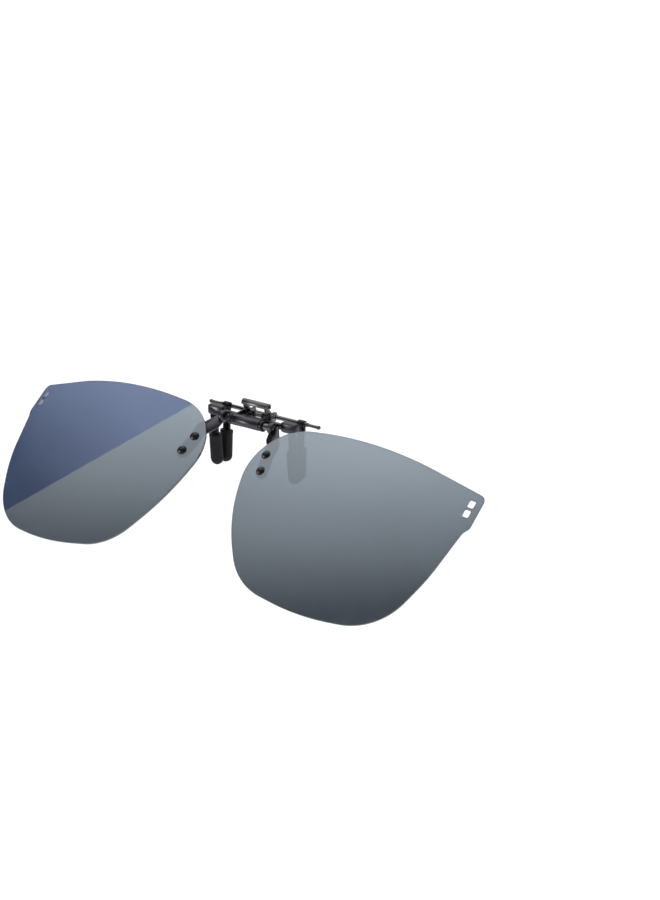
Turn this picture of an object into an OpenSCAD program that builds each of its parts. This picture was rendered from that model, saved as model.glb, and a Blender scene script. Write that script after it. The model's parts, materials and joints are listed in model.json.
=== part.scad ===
// Flip-up clip-on lenses: a sprung bridge clamp that carries two tinted lenses on a hinge rod.
// The frame is +X to the wearer's left, -Y forward and +Z up, with its origin
// midway between the rubber jaws, where the bridge of the host spectacles is gripped.

/* [Lenses] */
// Width of one lens
lens_w = 62; // [58:1:66]
// Height of one lens
lens_h = 47; // [44:1:49]
// Rise of the brow line's crown above the lens's top
brow_rise = 1; // [0.5:0.5:2]
// Drop of the outer tip below the lens's top
tip_drop = 3.5; // [3:0.5:5]
// Height of the straight outer tip
tip_h = 9; // [8:0.5:10]
// Rounding of the top corner beside the nose
nose_r = 14; // [10:1:15]
// Rounding of the two lower corners
chin_r = 17; // [12:1:18]
// Thickness of the lens sheet
lens_t = 0.8; // [0.8:0.1:1.2]
// Radius of the lens's spherical curve
lens_curve_r = 112; // [100:1:140]
// Gap between the two lenses across the nose
lens_gap = 15.3; // [15:0.1:17]
// Angle that each lens wraps back towards the temple
lens_wrap = 6; // [5:0.5:7]
// Angle that the lenses stand raised from closed
raise_angle = 47; // [0:1:90]

/* [Flip hinge] */
// Radius of the hinge rod
rod_r = 0.85; // [0.7:0.05:0.9]
// Half of the hinge rod's length
rod_half = 8.5; // [8.45:0.05:8.8]
// Outer radius of the barrel that the rod turns in
barrel_r = 1.45; // [1.4:0.05:1.5]
// Half of the barrel's length
barrel_half = 4.15; // [3.9:0.05:4.15]
// Radial running clearance of the turning fits
run_gap = 0.03; // [0.02:0.01:0.05]

/* [Clamp] */
// Half of the front jaw's overall width
front_half = 13.8; // [13.6:0.1:14.4]
// Half of the rear jaw rod's overall width
rear_half = 17.4; // [16.5:0.1:18]
// Radius of the rear jaw rod
rear_rod_r = 0.55; // [0.5:0.05:0.6]
// Radius of the clamp's pivot pin
pin_r = 0.55; // [0.5:0.05:0.6]
// Half of the thumb tab's width
tab_half = 4; // [3.8:0.1:4.4]
// Thickness of the stamped sheet of the cheeks and the lever's ears
sheet_t = 0.5; // [0.4:0.05:0.5]

/* [Rubber sleeves] */
// Width of a sleeve
sleeve_w = 3.6; // [3.4:0.1:4]
// Depth of a sleeve from front to back
sleeve_d = 2.5; // [2.4:0.1:2.6]
// Height of a sleeve
sleeve_h = 8.6; // [7:0.1:9]

/* [Hidden] */

$fn = 48;
sphere_fn = 360;
// Reach of a cut that passes right through the part, and of one that passes one face
far = 40;
cut = 1;

gunmetal = [0.24, 0.24, 0.26];
dark_steel = [0.14, 0.14, 0.15];
black_rubber = [0.07, 0.07, 0.08];
spring_steel = [0.45, 0.45, 0.47];
smoke_tint = [0.42, 0.47, 0.52];

// Flip axis, pivot pin and rear rod, as [y, z]
flip_at = [-4.7, 10.5];
pin_at = [0, 11];
rear_at = [2.4, 10.5];

// Lens centre below and in front of the flip axis when the lenses are closed
lens_cx = lens_gap / 2 + lens_w / 2;
lens_fore = 3.5;
lens_below = 21.4;

// Corners of the lens outline as [outward, up, rounding radius]: a long brow line from the
// nose to a straight tip with a small step under it, and bowed sides that narrow to the chin
half_w = lens_w / 2;
half_h = lens_h / 2;
tip_foot = half_h - tip_drop - tip_h;
brow_bow_r = 130;
side_bow_r = 50;
chin_bow_r = 56;
lens_corners = [
    [-half_w - 3, half_h - 2.5, nose_r], [0, half_h + brow_rise, brow_bow_r],
    [half_w, half_h - tip_drop, 1.5], [half_w, tip_foot, 2], [half_w - 1, tip_foot - 1.5, 4],
    [half_w - 3.5, -4.5, side_bow_r], [half_w - 10, 2.5 - half_h, chin_r],
    [1, -half_h - 0.5, chin_bow_r], [13 - half_w, 2.5 - half_h, chin_r],
    [2.5 - half_w, -5, side_bow_r]
];
arc_chord = 1.8;
arc_turn = 10;

// Two decorative slots beside the lens's outer top corner
slot_size = [1.5, 2.2];
slot_corner = 0.35;
slot_pitch = 2.75;
slot_in = 2.35;
slot_up = 15.7;

// Two rivets hold each lens to its bracket
rivet_in = 4.3;
rivet_up = 11.05;
rivet_pitch = 4.85;
rivet_lean = 14;
rivet_head_r = 1.2;
rivet_head_h = 0.75;
rivet_shank_r = 0.7;
rivet_hole_r = 0.76;
washer_r = 1.3;

// Stack behind the lens's front surface at the rivets
washer_from = lens_t + 0.07;
washer_t = 0.27;
pad_from = washer_from + washer_t;
pad_t = 0.6;
pad_r = 1.7;
collar_t = 0.6;
shank_proud = 0.15;
shank_end = pad_from + pad_t + collar_t + shank_proud;

// Bracket plate outline in the pad's plane, as [outward, up, rounding radius]
bracket_corners = [
    [-4.9, 11.5, 0.4], [-3.2, 11.5, 0.6], [-1.5, 9.2, 2], [0.9, 6.2, 2.6], [1.2, 2.2, 0.4],
    [-2.1, 2.2, 0.4], [-2.3, 4.6, 1.4], [-4.4, 7, 1.6], [-4.9, 9.4, 1]
];
eye_from = 6.95;
eye_w = 1.4;
eye_r = 1.45;
neck_cut = 3;
ring_from = 4.2;
ring_w = 1.1;
ring_r = 1.42;

// Front jaw: a flat bar, crimped end blocks and flat prongs
bar_t = 0.9;
bar_y = -2.4;
bar_z = [9.8, 11.3];
bar_half = 11;
block_w = 4.7;
block_d = 1.8;
block_corner = 0.7;
block_z = [9.4, 12.1];
prong_size = [2, 0.8];
prong_tip_z = -3.4;
front_prong_x = 12.35;
rear_prong_x = 11.7;
jaw_meet = 0.15;
prong_tip_y = sleeve_d / 2 + jaw_meet;
front_lean = atan((-bar_y - prong_tip_y) / (block_z[0] - prong_tip_z));
rear_lean = atan((rear_at[0] - prong_tip_y) / (rear_at[1] - prong_tip_z));
sleeve_bottom_z = -4.6;
sleeve_foot_r = sleeve_w / 2 - 0.1;
sleeve_rim_r = 0.3;

// Pin, cheeks, ears and thumb tab
cheek_x = 3.65;
pin_boss_r = 1.15;
pin_half = 4.6;
pin_head_r = 0.95;
ear_x = 3.05;
lug_r = 1.1;
prong_eye_r = 0.9;
tab_centre = [-1, 3.05];
tab_r = 1;
tab_t = 0.35;
// The rolled tab's sheet runs from its rear lip to its front lip at these angles
tab_from = -28;
tab_to = 188;
// The ear's neck: half width and height at the pin, and half width and drop at the tab
neck_foot = [0.9, 0.6];
neck_top = [0.8, 0.2];

// Slim ends of the rear jaw rod
tip_len = 3.6;
tip_r = 0.42;
ball_r = 0.55;

// Friction leaf behind the barrel
leaf_half = 3.4;
leaf_t = 0.28;
leaf_h = 1.3;
ridge_half = 2;
ridge_r = 0.6;
window_half = 2.2;
window_h = 1.5;

// Torsion springs, wound round the pin
wire_r = 0.2;
coil_r = 0.9;
coil_from = 1.05;
coil_turns = 3.5;
coil_pitch = 0.43;
wire_sides = 10;
wire_steps = 18;

// Unit vector, and the arc that rounds corner b between its neighbours a and d
function unit(v) = v / norm(v);
function turn_between(a0, a1) = (a1 - a0 + 900) % 360 - 180;
function arc_points(o, r, a0, turn) =
    let (steps = max(2, ceil(abs(turn) / arc_turn), ceil(abs(turn) * PI / 180 * r / arc_chord)))
    [for (i = [0:steps]) o + r * [cos(a0 + turn * i / steps), sin(a0 + turn * i / steps)]];
function corner_arc(a, b, d) =
    let (
        p = [b[0], b[1]],
        u = unit([a[0], a[1]] - p),
        v = unit([d[0], d[1]] - p),
        half = acos(u * v) / 2,
        o = p + unit(u + v) * b[2] / sin(half),
        from = p + u * b[2] / tan(half) - o,
        to = p + v * b[2] / tan(half) - o,
        a0 = atan2(from[1], from[0]),
        a1 = atan2(to[1], to[0])
    )
    arc_points(o, b[2], a0, turn_between(a0, a1));
function rounded(c) =
    let (n = len(c))
    [for (i = [0:n - 1]) each corner_arc(c[(i + n - 1) % n], c[i], c[(i + 1) % n])];

// Ring of points round p whose plane is square to the unit vector t, for a wire sweep
function wire_ring(p, t) =
    let (n1 = unit([1, 0, 0] - t[0] * t), n2 = cross(t, n1))
    [for (k = [0:wire_sides - 1])
        p + wire_r * (cos(360 * k / wire_sides) * n1 + sin(360 * k / wire_sides) * n2)];
function tangent(path, i) = unit(path[min(i + 1, len(path) - 1)] - path[max(i - 1, 0)]);

// Coil of one spring from its forward leg to its upper leg, wound outward along +X
coil_start = 250;
function coil_point(a) =
    [coil_from + wire_r + coil_pitch * a / 360,
     pin_at[0] + coil_r * cos(coil_start + a),
     pin_at[1] + coil_r * sin(coil_start + a)];
coil_end = coil_turns * 360;
forward_leg = coil_point(0) + [-0.05, -1.35, 0.45];
upper_leg = coil_point(coil_end) + [0.05, -1.2, 1];
spring_path = concat(
    [forward_leg],
    [for (i = [0:coil_turns * wire_steps]) coil_point(360 * i / wire_steps)],
    [upper_leg]
);

// Draws on the wearer's left for side 1 and mirrored on the right for side -1
module on_side(side) {
    if (side < 0) mirror([1, 0, 0]) children();
    else children();
}

// Plate drawn in the [y, z] plane, from x0 and t thick
module plate_x(x0, t) {
    translate([x0, 0, 0]) rotate([90, 0, 90]) linear_extrude(t) children();
}

// Plate drawn in the [x, z] plane, from y0 backwards and t thick
module plate_y(y0, t) {
    translate([0, y0 + t, 0]) rotate([90, 0, 0]) linear_extrude(t) children();
}

// Round bar along X about the [y, z] point at
module bar_x(x0, x1, r, at) {
    translate([x0, at[0], at[1]]) rotate([0, 90, 0]) cylinder(h = x1 - x0, r = r);
}

// Round bar along Y
module bar_y(y0, y1, r) {
    translate([0, y0, 0]) rotate([-90, 0, 0]) cylinder(h = y1 - y0, r = r);
}

// Frame on the flip axis, raised from closed by the rest angle
module flip_frame(side) {
    translate([0, flip_at[0], flip_at[1]]) rotate([-raise_angle, 0, 0]) on_side(side) children();
}

// Frame at the lens centre: +X outward, +Z up, -Y out of the lens's front
module lens_frame(side) {
    flip_frame(side) translate([lens_cx, -lens_fore, -lens_below]) rotate([0, 0, lens_wrap]) children();
}

// Frame square to the lens's front surface at its rivets
pad_u = -lens_w / 2 + rivet_in;
pad_tilt = asin(rivet_up / lens_curve_r);
pad_turn = asin(pad_u / (lens_curve_r * cos(pad_tilt)));
module pad_frame(side) {
    lens_frame(side) translate([0, lens_curve_r, 0]) rotate([-pad_tilt, 0, pad_turn])
        translate([0, -lens_curve_r, 0]) children();
}

// Places children at both rivets of a lens
module at_rivets(side) {
    pad_frame(side) rotate([0, -rivet_lean, 0])
        for (s = [-1, 1]) translate([0, 0, s * rivet_pitch / 2]) children();
}

module lens_outline() {
    polygon(rounded(lens_corners));
}

module slot_outline() {
    w = slot_size[0] / 2;
    h = slot_size[1] / 2;
    polygon(rounded([for (c = [[-w, -h], [w, -h], [w, h], [-w, h]]) [c[0], c[1], slot_corner]]));
}

module lens(side) {
    color(smoke_tint) difference() {
        lens_frame(side) difference() {
            intersection() {
                plate_y(-far / 8, far / 2) lens_outline();
                translate([0, lens_curve_r, 0]) difference() {
                    sphere(lens_curve_r, $fn = sphere_fn);
                    sphere(lens_curve_r - lens_t, $fn = sphere_fn);
                }
            }
            for (s = [-1, 1])
                translate([lens_w / 2 - slot_in, 0, slot_up + s * slot_pitch / 2])
                    plate_y(0, far / 2) slot_outline();
        }
        at_rivets(side) bar_y(-cut, washer_from + cut, rivet_hole_r);
    }
}

// Domed rivet head on a plain shank
module rivets(side) {
    dome_r = (rivet_head_r * rivet_head_r + rivet_head_h * rivet_head_h) / (2 * rivet_head_h);
    color(black_rubber) at_rivets(side) {
        intersection() {
            translate([0, dome_r - rivet_head_h, 0]) sphere(dome_r);
            bar_y(-rivet_head_h - cut, 0, 2 * rivet_head_r);
        }
        bar_y(-rivet_head_h / 2, shank_end, rivet_shank_r);
    }
}

module rivet_washers(side) {
    color(black_rubber) at_rivets(side) difference() {
        bar_y(washer_from, pad_from, washer_r);
        bar_y(washer_from - cut, pad_from + cut, rivet_hole_r);
    }
}

// Swaged collars that hold the rivets behind the bracket
module rivet_collars(side) {
    from = pad_from + pad_t;
    color(dark_steel) at_rivets(side) difference() {
        bar_y(from, from + collar_t, rivet_head_r);
        bar_y(from - cut, from + collar_t + cut, rivet_shank_r);
    }
}

// Stamped arm from the hinge rod to the pad behind the lens
module lens_bracket(side) {
    color(gunmetal) difference() {
        union() {
            pad_frame(side) {
                plate_y(pad_from, pad_t) polygon(rounded(bracket_corners));
                rotate([0, -rivet_lean, 0]) plate_y(pad_from, pad_t) {
                    square([2 * pad_r, rivet_pitch], center = true);
                    for (s = [-1, 1]) translate([0, s * rivet_pitch / 2]) circle(pad_r);
                }
            }
            flip_frame(side) bar_x(eye_from, eye_from + eye_w, eye_r, [0, 0]);
        }
        flip_frame(side) bar_x(eye_from - neck_cut, eye_from + eye_w + neck_cut, rod_r, [0, 0]);
        at_rivets(side) bar_y(pad_from - cut, pad_from + pad_t + cut, rivet_hole_r);
    }
}

module rod_ring(side) {
    color(dark_steel) on_side(side) difference() {
        bar_x(ring_from, ring_from + ring_w, ring_r, flip_at);
        bar_x(ring_from - cut, ring_from + ring_w + cut, rod_r, flip_at);
    }
}

module hinge_rod() {
    color(spring_steel) bar_x(-rod_half, rod_half, rod_r, flip_at);
}

// Rolled barrel with two cheeks that reach back to the pivot pin
module hinge_bracket() {
    color(gunmetal) difference() {
        union() {
            bar_x(-barrel_half, barrel_half, barrel_r, flip_at);
            for (side = [-1, 1]) on_side(side) plate_x(cheek_x, sheet_t) {
                translate(flip_at) circle(barrel_r);
                translate(pin_at) circle(pin_boss_r);
                polygon([
                    flip_at + [0, barrel_r], pin_at + [0, pin_boss_r],
                    pin_at - [0, pin_boss_r], flip_at - [0, barrel_r]
                ]);
            }
        }
        bar_x(-far, far, rod_r + run_gap, flip_at);
        bar_x(-far, far, pin_r, pin_at);
        jaw_bar_solid();
        translate([-window_half, flip_at[0], flip_at[1] - window_h / 2])
            cube([2 * window_half, barrel_r + cut, window_h]);
    }
}

// Leaf spring whose ridge rubs on the hinge rod and holds the lenses where they are put
module friction_leaf() {
    front = flip_at[0] + rod_r + run_gap;
    back = bar_y - bar_t / 2;
    color(spring_steel) {
        translate([-leaf_half, back - leaf_t, flip_at[1] - leaf_h / 2])
            cube([2 * leaf_half, leaf_t, leaf_h]);
        intersection() {
            bar_x(-ridge_half, ridge_half, ridge_r, [front + ridge_r, flip_at[1]]);
            translate([-ridge_half, front, flip_at[1] - cut])
                cube([2 * ridge_half, back - front, 2 * cut]);
        }
    }
}

module jaw_bar_solid() {
    translate([-bar_half, bar_y - bar_t / 2, bar_z[0]])
        cube([2 * bar_half, bar_t, bar_z[1] - bar_z[0]]);
}

module front_jaw_bar() {
    color(gunmetal) jaw_bar_solid();
}

// Block crimped over the end of the front bar and the head of the prong
module front_block(side) {
    inner = front_half - block_w;
    r = block_corner;
    color(gunmetal) on_side(side) difference() {
        plate_y(bar_y - block_d / 2, block_d) polygon(rounded([
            [inner, block_z[0], r], [front_half, block_z[0], r],
            [front_half, block_z[1], r], [inner, block_z[1], r]
        ]));
        jaw_bar_solid();
    }
}

// Flat prong leaning towards the other jaw, with its head at the [y, z] point at
module prong_strip(x, at, lean, length, grow) {
    w = prong_size[0] + grow;
    t = prong_size[1] + grow;
    translate([x, at[0], at[1]]) rotate([lean, 0, 0])
        translate([-w / 2, -t / 2, -length]) cube([w, t, length]);
}

front_head = [bar_y, block_z[0]];
front_len = (block_z[0] - prong_tip_z) / cos(front_lean);
rear_len = (rear_at[1] - prong_tip_z) / cos(rear_lean);

module front_prong(side) {
    color(dark_steel) on_side(side) prong_strip(front_prong_x, front_head, front_lean, front_len, 0);
}

// Prong with an eye that grips the rear rod
module rear_prong(side) {
    eye = [rear_prong_x - prong_size[0] / 2, rear_prong_x + prong_size[0] / 2];
    color(dark_steel) on_side(side) difference() {
        union() {
            prong_strip(rear_prong_x, rear_at, -rear_lean, rear_len, 0);
            bar_x(eye[0], eye[1], prong_eye_r, rear_at);
        }
        bar_x(eye[0] - cut, eye[1] + cut, rear_rod_r, rear_at);
    }
}

// Blind rubber sleeve over a prong, round at its lower end
module sleeve(x, at, lean, length) {
    w = sleeve_w / 2 + 0.01;
    bottom = -(at[1] - sleeve_bottom_z) / cos(lean);
    color(black_rubber) difference() {
        translate([x, at[0], at[1]]) rotate([lean, 0, 0]) translate([0, 0, bottom]) intersection() {
            linear_extrude(sleeve_h) {
                square([sleeve_w - sleeve_d, sleeve_d], center = true);
                for (s = [-1, 1]) translate([s * (sleeve_w - sleeve_d) / 2, 0]) circle(sleeve_d / 2);
            }
            plate_y(-sleeve_d, 2 * sleeve_d) polygon(rounded([
                [-w, 0, sleeve_foot_r], [w, 0, sleeve_foot_r],
                [w, sleeve_h, sleeve_rim_r], [-w, sleeve_h, sleeve_rim_r]
            ]));
        }
        prong_strip(x, at, lean, length, 0);
    }
}

module front_sleeve(side) {
    on_side(side) sleeve(front_prong_x, front_head, front_lean, front_len);
}

module rear_sleeve(side) {
    on_side(side) sleeve(rear_prong_x, rear_at, -rear_lean, rear_len);
}

// Pivot pin with a flat head at each end
module clamp_pin() {
    color(spring_steel) {
        bar_x(-pin_half, pin_half, pin_r, pin_at);
        for (side = [-1, 1]) on_side(side) bar_x(cheek_x + sheet_t, pin_half, pin_head_r, pin_at);
    }
}

// Coiled spring that holds the jaws together
module torsion_spring(side) {
    n = len(spring_path);
    rings = [for (i = [0:n - 1]) each wire_ring(spring_path[i], tangent(spring_path, i))];
    ends = [
        [for (k = [0:wire_sides - 1]) k],
        [for (k = [wire_sides - 1:-1:0]) (n - 1) * wire_sides + k]
    ];
    walls = [
        for (i = [0:n - 2], k = [0:wire_sides - 1])
            let (a = i * wire_sides + k, b = i * wire_sides + (k + 1) % wire_sides)
            each [[a, a + wire_sides, b], [b, a + wire_sides, b + wire_sides]]
    ];
    color(spring_steel) on_side(side) polyhedron(points = rings, faces = concat(ends, walls));
}

// Point far out along the rolled tab's lip at angle a
function lip(a) = 3 * tab_r * [cos(a), sin(a)];

// Stamped lever: a rolled thumb tab on two ears that turn on the pin and grip the rear rod
module thumb_lever() {
    rear = rear_at - pin_at;
    color(gunmetal) difference() {
        union() {
            plate_x(-tab_half, 2 * tab_half) translate(pin_at + tab_centre) intersection() {
                difference() {
                    circle(tab_r);
                    circle(tab_r - tab_t);
                }
                polygon([[0, 0], lip(tab_from), 3 * tab_r * [1, 1], 3 * tab_r * [-1, 1], lip(tab_to)]);
            }
            for (side = [-1, 1]) on_side(side) plate_x(ear_x, sheet_t) translate(pin_at) {
                circle(pin_boss_r);
                translate(rear) circle(lug_r);
                translate(tab_centre) circle(tab_r - tab_t / 2);
                polygon([
                    [-neck_foot[0], neck_foot[1]], tab_centre - neck_top,
                    tab_centre + [neck_top[0], -neck_top[1]], neck_foot
                ]);
                polygon([[0, lug_r], rear + [0, lug_r], rear - [0, lug_r], [0, -lug_r]]);
            }
        }
        bar_x(-far, far, pin_r + run_gap, pin_at);
        bar_x(-far, far, rear_rod_r, rear_at);
    }
}

// Rear jaw rod, turned down at its ends to slim ball tips
module rear_jaw_rod() {
    step = rear_half - tip_len;
    color(spring_steel) {
        bar_x(-step, step, rear_rod_r, rear_at);
        for (side = [-1, 1]) on_side(side) {
            bar_x(step, rear_half - ball_r, tip_r, rear_at);
            translate([rear_half - ball_r, rear_at[0], rear_at[1]]) sphere(ball_r);
        }
    }
}

hinge_bracket();
friction_leaf();
front_jaw_bar();
front_block(1);  // front_block_left
front_block(-1);  // front_block_right
front_prong(1);  // front_prong_left
front_prong(-1);  // front_prong_right
front_sleeve(1);  // front_sleeve_left
front_sleeve(-1);  // front_sleeve_right
clamp_pin();
torsion_spring(1);  // torsion_spring_left
torsion_spring(-1);  // torsion_spring_right
thumb_lever();
rear_jaw_rod();
rear_prong(1);  // rear_prong_left
rear_prong(-1);  // rear_prong_right
rear_sleeve(1);  // rear_sleeve_left
rear_sleeve(-1);  // rear_sleeve_right
hinge_rod();
rod_ring(1);  // rod_ring_left
rod_ring(-1);  // rod_ring_right
lens_bracket(1);  // lens_bracket_left
lens_bracket(-1);  // lens_bracket_right
lens(1);  // lens_left
lens(-1);  // lens_right
rivets(1);  // rivets_left
rivets(-1);  // rivets_right
rivet_washers(1);  // rivet_washers_left
rivet_washers(-1);  // rivet_washers_right
rivet_collars(1);  // rivet_collars_left
rivet_collars(-1);  // rivet_collars_right
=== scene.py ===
"""Looks of a pair of clip-on flip lenses: tinted lenses on a hinge rod and a sprung bridge clamp."""
import json
import logging
import math
from dataclasses import dataclass, field
from enum import Enum
from typing import Any, Iterable, Sequence

import bmesh
import bpy
from mathutils import Matrix, Vector
from mathutils.geometry import delaunay_2d_cdt


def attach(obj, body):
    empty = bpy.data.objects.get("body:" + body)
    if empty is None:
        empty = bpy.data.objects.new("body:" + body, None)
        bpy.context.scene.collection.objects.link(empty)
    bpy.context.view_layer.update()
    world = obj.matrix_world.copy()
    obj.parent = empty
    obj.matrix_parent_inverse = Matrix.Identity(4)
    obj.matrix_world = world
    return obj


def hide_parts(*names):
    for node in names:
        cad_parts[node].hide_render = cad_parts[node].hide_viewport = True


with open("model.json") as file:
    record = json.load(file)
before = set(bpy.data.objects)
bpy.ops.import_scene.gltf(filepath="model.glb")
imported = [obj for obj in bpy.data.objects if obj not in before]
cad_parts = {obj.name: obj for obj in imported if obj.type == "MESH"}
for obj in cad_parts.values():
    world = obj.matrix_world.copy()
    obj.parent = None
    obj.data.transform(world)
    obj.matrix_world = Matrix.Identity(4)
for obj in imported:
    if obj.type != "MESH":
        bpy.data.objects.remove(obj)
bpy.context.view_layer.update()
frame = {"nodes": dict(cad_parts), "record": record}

LOG = logging.getLogger("clip_on_lenses")
MM = 0.001
# Longest turn from one point of an arc to the next.
ARC_STEP = math.radians(9)
# Angle between two faces from which their edge is sharp.
SHARP_EDGE = math.radians(50)
# Radius, in millimetres, that a turned shape closes to at its pole.
POLE = 0.02

Outline = list[tuple[float, float]]
Corner = tuple[float, float, float]
Colour = tuple[float, float, float]


class Side(Enum):
    """The wearer's side that a piece is on."""

    LEFT = 1
    RIGHT = -1

    @property
    def suffix(self) -> str:
        """Ending of a node's name on this side."""
        return self.name.lower()

    def mirrored(self) -> Matrix:
        """Matrix that puts a shape drawn for the left on this side."""
        return Matrix.Diagonal((self.value, 1, 1, 1))


class Body(Enum):
    """Rigid bodies of the frame that the pieces ride on."""

    FRONT = "clamp_front"
    REAR = "clamp_rear"
    FLIP = "flip_frame"


class Axis(Enum):
    """Direction that a round piece is turned about."""

    X = 0
    Y = 1


def joint_row(name: str) -> dict[str, Any]:
    """Row of the record that describes a joint."""
    return next(j for j in frame["record"]["behaviour"]["joints"] if j["name"] == name)


def joint_place(name: str) -> tuple[float, float]:
    """Where a joint's axis stands, as (y, z) in millimetres."""
    y, z = (c / MM for c in joint_row(name)["pos_m"][1:])
    return y, z


# ---------------------------------------------------------------- outlines


def unit_2d(x: float, y: float) -> tuple[float, float]:
    """Vector of length one along (x, y)."""
    size = math.hypot(x, y)
    return x / size, y / size


def corner_arc(before: Corner, corner: Corner, after: Corner, chord: float) -> Outline:
    """Arc that rounds a corner of an outline.

    Args:
        before: Corner that comes before, as (x, y, radius).
        corner: Corner to round.
        after: Corner that comes after.
        chord: Longest step along the arc, in millimetres.

    Returns:
        Points of the arc in order.
    """
    px, py, radius = corner
    ux, uy = unit_2d(before[0] - px, before[1] - py)
    vx, vy = unit_2d(after[0] - px, after[1] - py)
    half = math.acos(max(-1.0, min(1.0, ux * vx + uy * vy))) / 2
    bx, by = unit_2d(ux + vx, uy + vy)
    cx, cy = px + bx * radius / math.sin(half), py + by * radius / math.sin(half)
    reach = radius / math.tan(half)
    start = math.atan2(py + uy * reach - cy, px + ux * reach - cx)
    end = math.atan2(py + vy * reach - cy, px + vx * reach - cx)
    turn = (end - start + 3 * math.pi) % (2 * math.pi) - math.pi
    steps = max(2, math.ceil(abs(turn) / ARC_STEP), math.ceil(abs(turn) * radius / chord))
    angles = [start + turn * i / steps for i in range(steps + 1)]
    return [(cx + radius * math.cos(a), cy + radius * math.sin(a)) for a in angles]


def arc_points(centre: tuple[float, float], radius: float, start: float, end: float, steps: int) -> Outline:
    """Points of an arc, both ends included.

    Args:
        centre: Its centre.
        radius: Its radius.
        start: Angle of the first point, in degrees.
        end: Angle of the last point.
        steps: Number of steps.

    Returns:
        Points of the arc in order.
    """
    angles = [math.radians(start + (end - start) * k / steps) for k in range(steps + 1)]
    return [(centre[0] + radius * math.cos(a), centre[1] + radius * math.sin(a)) for a in angles]


def rounded(corners: Sequence[Corner], chord: float = 0.6) -> Outline:
    """Closed outline whose corners are rounded by arcs.

    Args:
        corners: Corners as (x, y, radius), in order.
        chord: Longest step along an arc.

    Returns:
        Points of the outline.
    """
    n = len(corners)
    arcs = [corner_arc(corners[i - 1], corners[i], corners[(i + 1) % n], chord) for i in range(n)]
    return [p for arc in arcs for p in arc]


def box_corners(left: float, right: float, low: float, high: float, radius: float) -> list[Corner]:
    """Corners of an upright rectangle, all rounded alike."""
    return [(left, low, radius), (right, low, radius), (right, high, radius), (left, high, radius)]


def area_2d(outline: Outline) -> float:
    """Signed area of an outline, positive when it runs anticlockwise."""
    pairs = zip(outline, outline[1:] + outline[:1])
    return sum(a[0] * b[1] - b[0] * a[1] for a, b in pairs) / 2


def inset(outline: Outline, depth: float) -> Outline:
    """Outline moved inwards by depth, for bevels much smaller than its corners.

    Args:
        outline: Closed outline.
        depth: Distance to move each point inwards.

    Returns:
        The same number of points, moved.
    """
    sign = 1 if area_2d(outline) > 0 else -1
    n = len(outline)
    moved = []
    for i, (x, y) in enumerate(outline):
        ax, ay = outline[i - 1]
        bx, by = outline[(i + 1) % n]
        tx, ty = unit_2d(bx - ax, by - ay)
        moved.append((x - sign * ty * depth, y + sign * tx * depth))
    return moved


def stadium(width: float, depth: float, steps: int = 10) -> Outline:
    """Outline with two straight sides and two round ends.

    Args:
        width: Length from end to end.
        depth: Distance between the straight sides.
        steps: Steps of each round end.

    Returns:
        Points of the outline.
    """
    r = depth / 2
    shift = width / 2 - r
    return arc_points((shift, 0), r, -90, 90, steps) + arc_points((-shift, 0), r, 90, 270, steps)


def inside(point: tuple[float, float], outline: Outline) -> bool:
    """Tells whether a point lies within an outline.

    Args:
        point: The point.
        outline: Closed outline.

    Returns:
        True if it does.
    """
    x, y = point
    hit = False
    for (ax, ay), (bx, by) in zip(outline, outline[1:] + outline[:1]):
        if (ay > y) != (by > y) and x < ax + (y - ay) * (bx - ax) / (by - ay):
            hit = not hit
    return hit


# ---------------------------------------------------------------- meshes


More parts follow.
